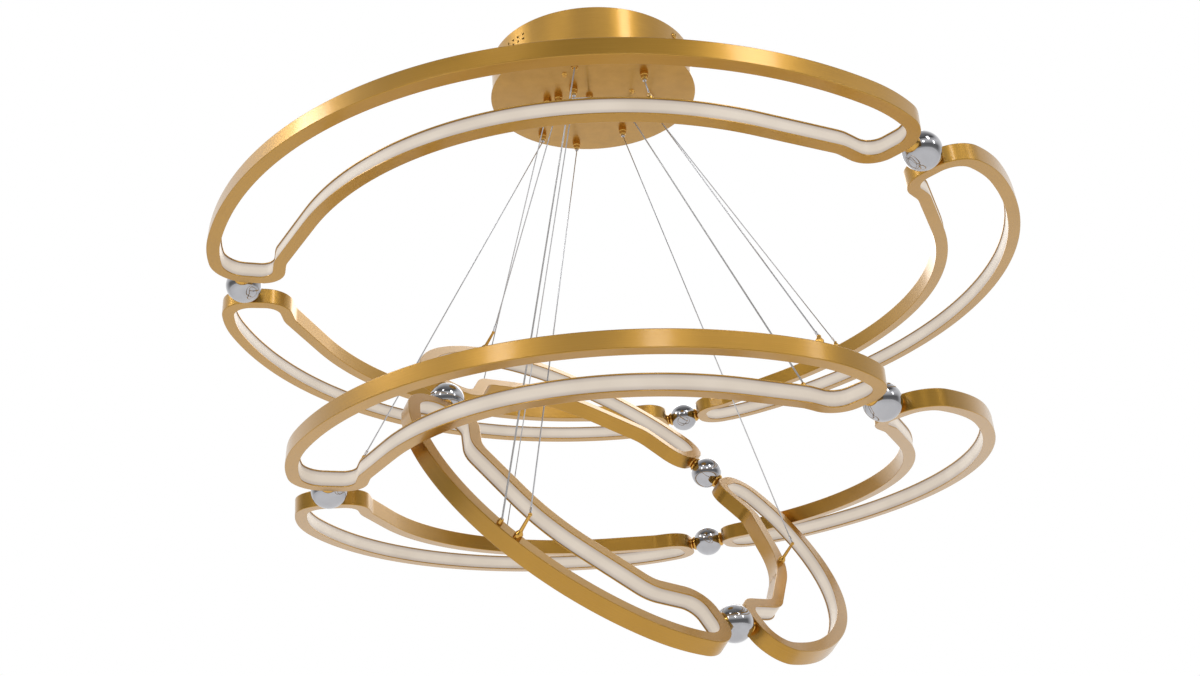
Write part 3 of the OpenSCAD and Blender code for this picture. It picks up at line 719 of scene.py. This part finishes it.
def drilledPlate():
    # a round plate with a rim that stands up inside the wall, and holes for grips, glands and driver screws
    edge, top, rimIn = canopy["width"] / 2, under - canopy["plate"], wallR - canopy["wall"] - canopy["rim"]
    rimTop, rimOut = top - canopy["rimHigh"], wallR - canopy["wall"] - canopy["rimRoom"]
    plate = lathe("canopyPlate", roundedProfile([
        (top, 0, 0), (top, rimIn, 0), (rimTop, rimIn, 0), (rimTop, rimOut, 0), (top, rimOut, 0), (top, edge, 0.4),
        (under, edge, 0.6), (under, 90, 0), (under, 40, 0), (under, 0, 0)]), np.zeros(3), down, 160)
    holes = [(x, y, canopy["gripHole"]) for r in places.values() for x, y in r["grips"]]
    holes += [(*r["gland"], canopy["glandHole"]) for r in places.values()]
    lug = polar(canopy["driverHalf"], canopy["driverWay"])
    holes += [(*(np.array(canopy["driverAt"]) + s * lug), canopy["screwHole"]) for s in (1, -1)]
    return drill(plate, [(np.array([x, y, -under - 2]), np.array([x, y, 0.0]), rad, 6) for x, y, rad in holes])


dress(drilledPlate(), "goldPlain", "brushed_gold", "canopy", "canopy_plate")


def drilledWall():
    # a short tube about Z, with vents and screw holes that point at the axis
    top, low, inner = canopy["below"], under - canopy["plate"], wallR - canopy["wall"]
    prof = roundedProfile([(top, inner, 0), (top, wallR, 0.3), (low, wallR, 0.2), (low, inner, 0)], ring=True)
    wall = lathe("canopyWall", prof, np.zeros(3), down, 240, ring=True)
    vents = [(canopy["ventAt"] + j * canopy["ventStep"], z) for j in range(4) for z in canopy["ventZ"]]
    holes = [(a, z, canopy["vent"] / 2) for a, z in vents]
    holes += [(a, canopy["screwZ"], canopy["screwHole"]) for a in canopy["screwAt"]]
    cuts = []
    for a, z, rad in holes:
        way, at = np.array([*polar(1, a), 0]), np.array([0, 0, z])
        cuts.append((at + (wallR - 5) * way, at + wallR * way, rad, 10))
    return drill(wall, cuts)


dress(drilledWall(), "goldPlain", "brushed_gold", "canopy", "canopy_wall")

# what sits in the wall or the plate, as (past its outer face, radius, rounding)
shapes = {
    "screw": [(-8, 0, 0), (-8, 2, 0), (0, 2, 0), (0, 4.0, 0.1), (1.0, 3.8, 0.5), (1.9, 2.4, 0.4), (1.5, 1.2, 0.1),
              (1.0, 0, 0)],
    "grip": [(-9, 0.9, 0), (-9, 4, 0.3), (0, 4, 0), (0, 5.0, 0.1), (4.2, 5.0, 0.5), (5, 4.5, 0.3), (8.4, 3.8, 0.5),
             (9, 2.9, 0.2), (8.8, 2.47, 0.1), (4, 2.47, 0), (4, 3.1, 0), (-7.5, 3.1, 0), (-7.5, 0.9, 0)],
    "sleeve": [(2, 0.76, 0), (2, 3, 0.2), (4, 3, 0.1), (4, 2.4, 0), (11.6, 2.4, 0.4), (12, 2.05, 0.15),
               (10, 0.76, 0.2)],
    "gland": [(-6, 0.95, 0), (-6, 3, 0.2), (0, 3, 0), (0, 4.5, 0.1), (1.2, 4.4, 0.4), (3.7, 4.0, 0.3),
              (4, 3.2, 0.2), (1.8, 2.0, 0.2), (1, 0.95, 0)],
}


def seated(name, shape, face, at, way, around, ring=True):
    # a turned piece whose shape is measured from a face that lies this far along the way from at
    prof = roundedProfile([(face + out, rad, corner) for out, rad, corner in shapes[shape]], ring=ring)
    return lathe(name, prof, at, at + way, around, ring=ring)


screws = []
for a in canopy["screwAt"]:
    at, way = np.array([0, 0, canopy["screwZ"]]), np.array([*polar(1, a), 0])
    screws.append(seated("screw", "screw", wallR, at, way, 32, ring=False))
dress(joined("canopyScrews", screws), "brass", "brass", "canopy", "canopy_screws")

grips, glands = [], []
for g, ringName in enumerate(rings):
    for j, (x, y) in enumerate(places[ringName]["grips"]):
        at, count = np.array([x, y, 0.0]), 3 * g + j + 1
        grips.append(seated("grip", "grip", under, at, down, 40))
        sleeve = seated(f"gripSleeve{count}", "sleeve", under, at, down, 28)
        dress(sleeve, "crimp", "chrome", f"sleeve_{count}", f"grip_sleeve_{count}")
    at = np.array([*places[ringName]["gland"], 0.0])
    glands.append(seated("gland", "gland", under, at, down, 32))
dress(joined("cableGrips", grips), "brass", "brass", "canopy", "cable_grips")
dress(joined("cordGlands", glands), "brass", "brass", "canopy", "cord_glands")

kept = {"ceiling_plate": "zinc", "led_driver": "driver", "driver_screws": "brass", "grip_nuts": "zinc",
        "upper_strips": "strip", "middle_strips": "strip", "lower_strips": "strip"}
for name, material in kept.items():
    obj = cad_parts[name]
    for slot in obj.material_slots:
        slot.material = materials[material]
print("canopy made")

studio = {
    "floorZ": -1.15, "floorGlow": 0.45, "world": 0.5,
    # what metal sees on the photographer's side: height from straight down (0) to straight up (1), and its grey
    "room": ((0.0, 0.7), (0.44, 0.58), (0.5, 0.24), (0.62, 0.2), (0.71, 0.7), (0.78, 1), (0.84, 0.6), (0.88, 0.1),
             (1.0, 0.3)),
    "target": (0.0, 0.0, -0.4),
    "lamps": {  # way round from the front towards the right, height angle, distance, width, height, watts
        "rightLamp": (39, 42, 2.6, 0.40, 0.7, 6.2),
        "topLamp": (-28, 50, 2.6, 0.35, 0.35, 1.9),
        "sideLamp": (-83, 33, 2.6, 0.45, 0.5, 6.0),
        "leftLamp": (-39, 26, 2.6, 0.30, 0.5, 3.3),
        "lowLamp": (8, 26, 2.6, 0.30, 0.4, 2.6),
        "farLamp": (57, 22, 2.6, 0.35, 0.5, 2.2),
        "backLamp": (172, 30, 2.4, 1.5, 1.5, 12.0),
    },
}


def backdropMaterial(glow):
    # pale surface that takes the object's shadow, lifted towards white for the camera, for metal and for glass
    m, tree, bsdf = newMaterial("paleFloor")
    bsdf.inputs["Base Color"].default_value = (0.8, 0.8, 0.8, 1)
    bsdf.inputs["Roughness"].default_value = 0.9
    lift = node(tree, "ShaderNodeEmission")
    lift.inputs["Color"].default_value = (1, 1, 1, 1)
    seen = seenRays(tree)
    amount = node(tree, "ShaderNodeMath", operation="MULTIPLY")
    amount.inputs[1].default_value = glow
    tree.links.new(seen, amount.inputs[0])
    tree.links.new(amount.outputs[0], lift.inputs["Strength"])
    both = node(tree, "ShaderNodeAddShader")
    tree.links.new(bsdf.outputs["BSDF"], both.inputs[0])
    tree.links.new(lift.outputs["Emission"], both.inputs[1])
    tree.links.new(both.outputs["Shader"], tree.nodes["Material Output"].inputs["Surface"])
    return m


def seenRays(tree):
    # 1 for a ray from the camera, from metal or through glass
    path = node(tree, "ShaderNodeLightPath")
    most = node(tree, "ShaderNodeMath", operation="MAXIMUM")
    every = node(tree, "ShaderNodeMath", operation="MAXIMUM")
    tree.links.new(path.outputs["Is Camera Ray"], most.inputs[0])
    tree.links.new(path.outputs["Is Transmission Ray"], most.inputs[1])
    tree.links.new(most.outputs[0], every.inputs[0])
    tree.links.new(path.outputs["Is Glossy Ray"], every.inputs[1])
    return every.outputs[0]


def makeWorld(level, room):
    # white all round, and for metal a room: white behind the object, and on the photographer's side a pale band
    # between a dim one at eye level and a dark one overhead
    world = bpy.data.worlds.new("studio")
    bpy.context.scene.world = world
    world.use_nodes = True
    tree = world.node_tree
    plain = tree.nodes["Background"]
    plain.inputs["Color"].default_value = (1, 1, 1, 1)
    plain.inputs["Strength"].default_value = level
    coords = node(tree, "ShaderNodeTexCoord")
    way = node(tree, "ShaderNodeSeparateXYZ")
    tree.links.new(coords.outputs["Generated"], way.inputs["Vector"])
    height = node(tree, "ShaderNodeMapRange")
    height.inputs["From Min"].default_value = -1.0
    tree.links.new(way.outputs["Z"], height.inputs["Value"])
    front = ramp(tree, height.outputs["Result"], [(at, (grey, grey, grey)) for at, grey in room])
    depth = node(tree, "ShaderNodeMapRange")
    depth.inputs["From Min"].default_value = -0.15
    depth.inputs["From Max"].default_value = 0.55
    tree.links.new(way.outputs["Y"], depth.inputs["Value"])
    sides = node(tree, "ShaderNodeMix", data_type="RGBA")
    tree.links.new(depth.outputs["Result"], sides.inputs["Factor"])
    tree.links.new(front.outputs["Color"], sides.inputs[6])
    sides.inputs[7].default_value = (1, 1, 1, 1)
    shown = node(tree, "ShaderNodeBackground", Strength=1.0)
    tree.links.new(sides.outputs[2], shown.inputs["Color"])
    white = node(tree, "ShaderNodeBackground", Strength=1.0)
    white.inputs["Color"].default_value = (1, 1, 1, 1)
    path = node(tree, "ShaderNodeLightPath")
    metalMix = node(tree, "ShaderNodeMixShader")
    tree.links.new(path.outputs["Is Glossy Ray"], metalMix.inputs["Fac"])
    tree.links.new(plain.outputs["Background"], metalMix.inputs[1])
    tree.links.new(shown.outputs["Background"], metalMix.inputs[2])
    straight = node(tree, "ShaderNodeMath", operation="MAXIMUM")
    tree.links.new(path.outputs["Is Camera Ray"], straight.inputs[0])
    tree.links.new(path.outputs["Is Transmission Ray"], straight.inputs[1])
    last = node(tree, "ShaderNodeMixShader")
    tree.links.new(straight.outputs[0], last.inputs["Fac"])
    tree.links.new(metalMix.outputs["Shader"], last.inputs[1])
    tree.links.new(white.outputs["Background"], last.inputs[2])
    tree.links.new(last.outputs["Shader"], tree.nodes["World Output"].inputs["Surface"])


def makeStudio(s):
    bpy.ops.mesh.primitive_plane_add(size=12, location=(0, 0, s["floorZ"]))
    floor = bpy.context.object
    floor.name = "floor"
    floor.data.materials.append(backdropMaterial(s["floorGlow"]))
    floor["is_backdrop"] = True
    makeWorld(s["world"], s["room"])
    target = np.array(s["target"])
    for name, (way, tilt, far, wide, high, power) in s["lamps"].items():
        data = bpy.data.lights.new(name, "AREA")
        data.shape, data.size, data.size_y, data.energy = "RECTANGLE", wide, high, power
        lamp = bpy.data.objects.new(name, data)
        bpy.context.scene.collection.objects.link(lamp)
        a, t = math.radians(way), math.radians(tilt)
        back = np.array([math.sin(a) * math.cos(t), -math.cos(a) * math.cos(t), math.sin(t)])
        side = np.array([math.cos(a), math.sin(a), 0])
        m = np.eye(4)
        m[:3, 0], m[:3, 1], m[:3, 2], m[:3, 3] = side, np.cross(back, side), back, target + far * back
        lamp.matrix_world = Matrix(m.tolist())
    bpy.context.scene.view_settings.view_transform = "Standard"


makeStudio(studio)
print("studio made")

low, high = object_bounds()
